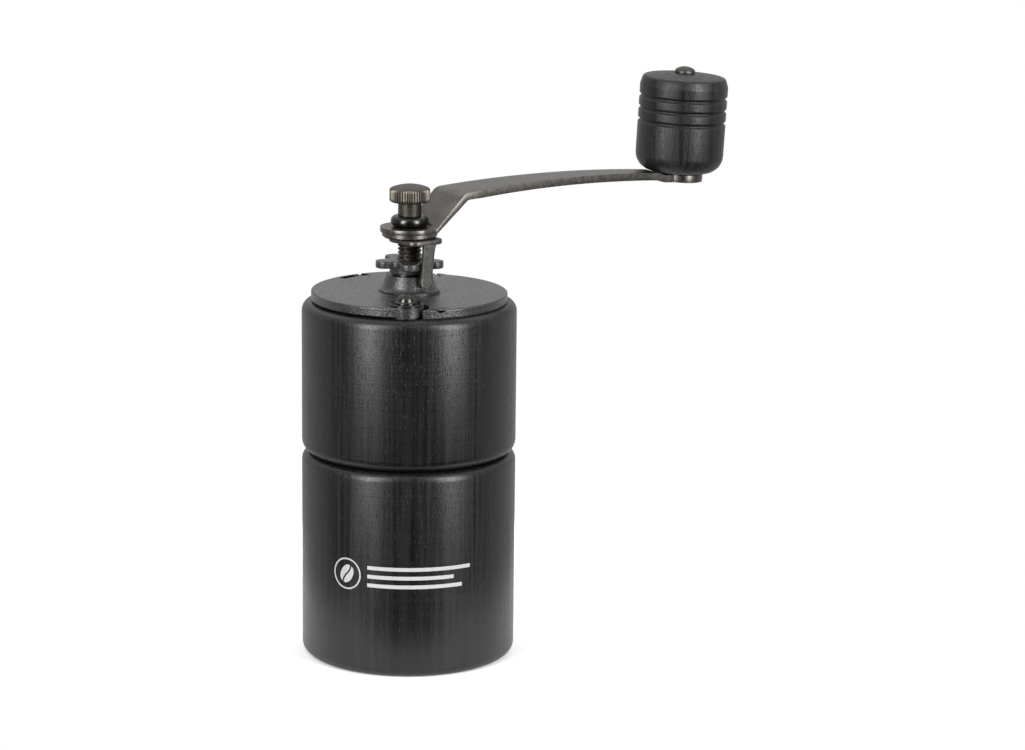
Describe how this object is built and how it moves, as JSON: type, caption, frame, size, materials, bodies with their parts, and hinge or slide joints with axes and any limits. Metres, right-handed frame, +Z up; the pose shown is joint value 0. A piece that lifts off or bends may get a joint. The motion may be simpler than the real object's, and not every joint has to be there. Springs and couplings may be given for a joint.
{
  "type": "hand crank coffee grinder",
  "caption": "Round wooden hand coffee mill with a cast top, swinging half lid, star adjusting nut and a cranked arm with a turned knob.",
  "frame": {"origin": "centre of the base, on the axis of the body and of the spindle", "axes": "+Z up along the spindle, -Y the front with the lid's pivot; the crank rests 30 degrees round from +X towards +Y"},
  "size_m": [0.1421, 0.1023, 0.1877],
  "materials": {
    "black_wood": "black stained, semi-gloss, open grain",
    "black_iron": "satin black, fine cast texture",
    "raw_iron": "as cast",
    "burr_steel": "machined",
    "gunmetal": "antiqued satin",
    "dark_steel": "black oxide",
    "bright_steel": "turned",
    "bronze": "sintered"
  },
  "bodies": {
    "jar": {"lower_body": "black_wood"},
    "mill": {"upper_body": "black_wood", "top_frame": "black_iron", "frame_screws": "dark_steel", "lid_washer": "dark_steel", "lid_screw": "dark_steel", "mill_housing": "raw_iron", "outer_burr": "burr_steel", "lower_bridge": "raw_iron", "bridge_bush": "bronze", "burr_screws": "bright_steel", "boss_bush": "bronze"},
    "lid": {"lid": "black_iron"},
    "adjuster": {"star_nut": "black_iron", "thrust_washer": "dark_steel"},
    "spindle": {"shaft": "gunmetal", "inner_burr": "burr_steel", "drive_pin": "bright_steel", "burr_washer": "bright_steel", "burr_nut": "bright_steel", "spring_washer": "bright_steel", "spring": "bright_steel"},
    "clip": {"lock_clip": "dark_steel"},
    "crank": {"crank_washer": "gunmetal", "crank_arm": "gunmetal", "knob_washer": "dark_steel", "knob_rivet": "gunmetal"},
    "cap": {"dome_washer": "dark_steel"},
    "thumb": {"thumb_nut": "gunmetal"},
    "knob": {"knob": "black_wood", "knob_bush": "bright_steel"}
  },
  "joints": [
    {"name": "upper_lift", "type": "slide", "parent": "jar", "child": "mill", "axis": [0, 0, 1], "range_m": [0, 0.03]},
    {"name": "lid_swing", "type": "hinge", "parent": "mill", "child": "lid", "pos_m": [-0.001, -0.0264, 0.1197], "axis": [0, 0, 1], "range_deg": [0, 60]},
    {"name": "crank_turn", "type": "hinge", "parent": "mill", "child": "adjuster", "pos_m": [0, 0, 0.128], "axis": [0, 0, 1], "continuous": true},
    {"name": "grind_adjust", "type": "slide", "parent": "adjuster", "child": "spindle", "axis": [0, 0, 1], "range_m": [-0.0008, 0.0008], "deforming": ["spring"]},
    {"name": "clip_lift", "type": "slide", "parent": "spindle", "child": "clip", "axis": [0, 0, 1], "range_m": [0, 0.02]},
    {"name": "crank_lift", "type": "slide", "parent": "clip", "child": "crank", "axis": [0, 0, 1], "range_m": [0, 0.02]},
    {"name": "thumb_climb", "type": "slide", "parent": "crank", "child": "cap", "axis": [0, 0, 1], "range_m": [0, 0.005]},
    {"name": "thumb_turn", "type": "hinge", "parent": "cap", "child": "thumb", "pos_m": [0, 0, 0.15], "axis": [0, 0, 1], "range_deg": [0, 2160]},
    {"name": "knob_spin", "type": "hinge", "parent": "crank", "child": "knob", "pos_m": [0.0908, 0.05242, 0.1515], "axis": [0.0472, -0.0058, 0.9989], "continuous": true}
  ],
  "couplings": [
    {"joint": "thumb_climb", "follows": "thumb_turn", "m_per_rad": 0.00012732}
  ]
}
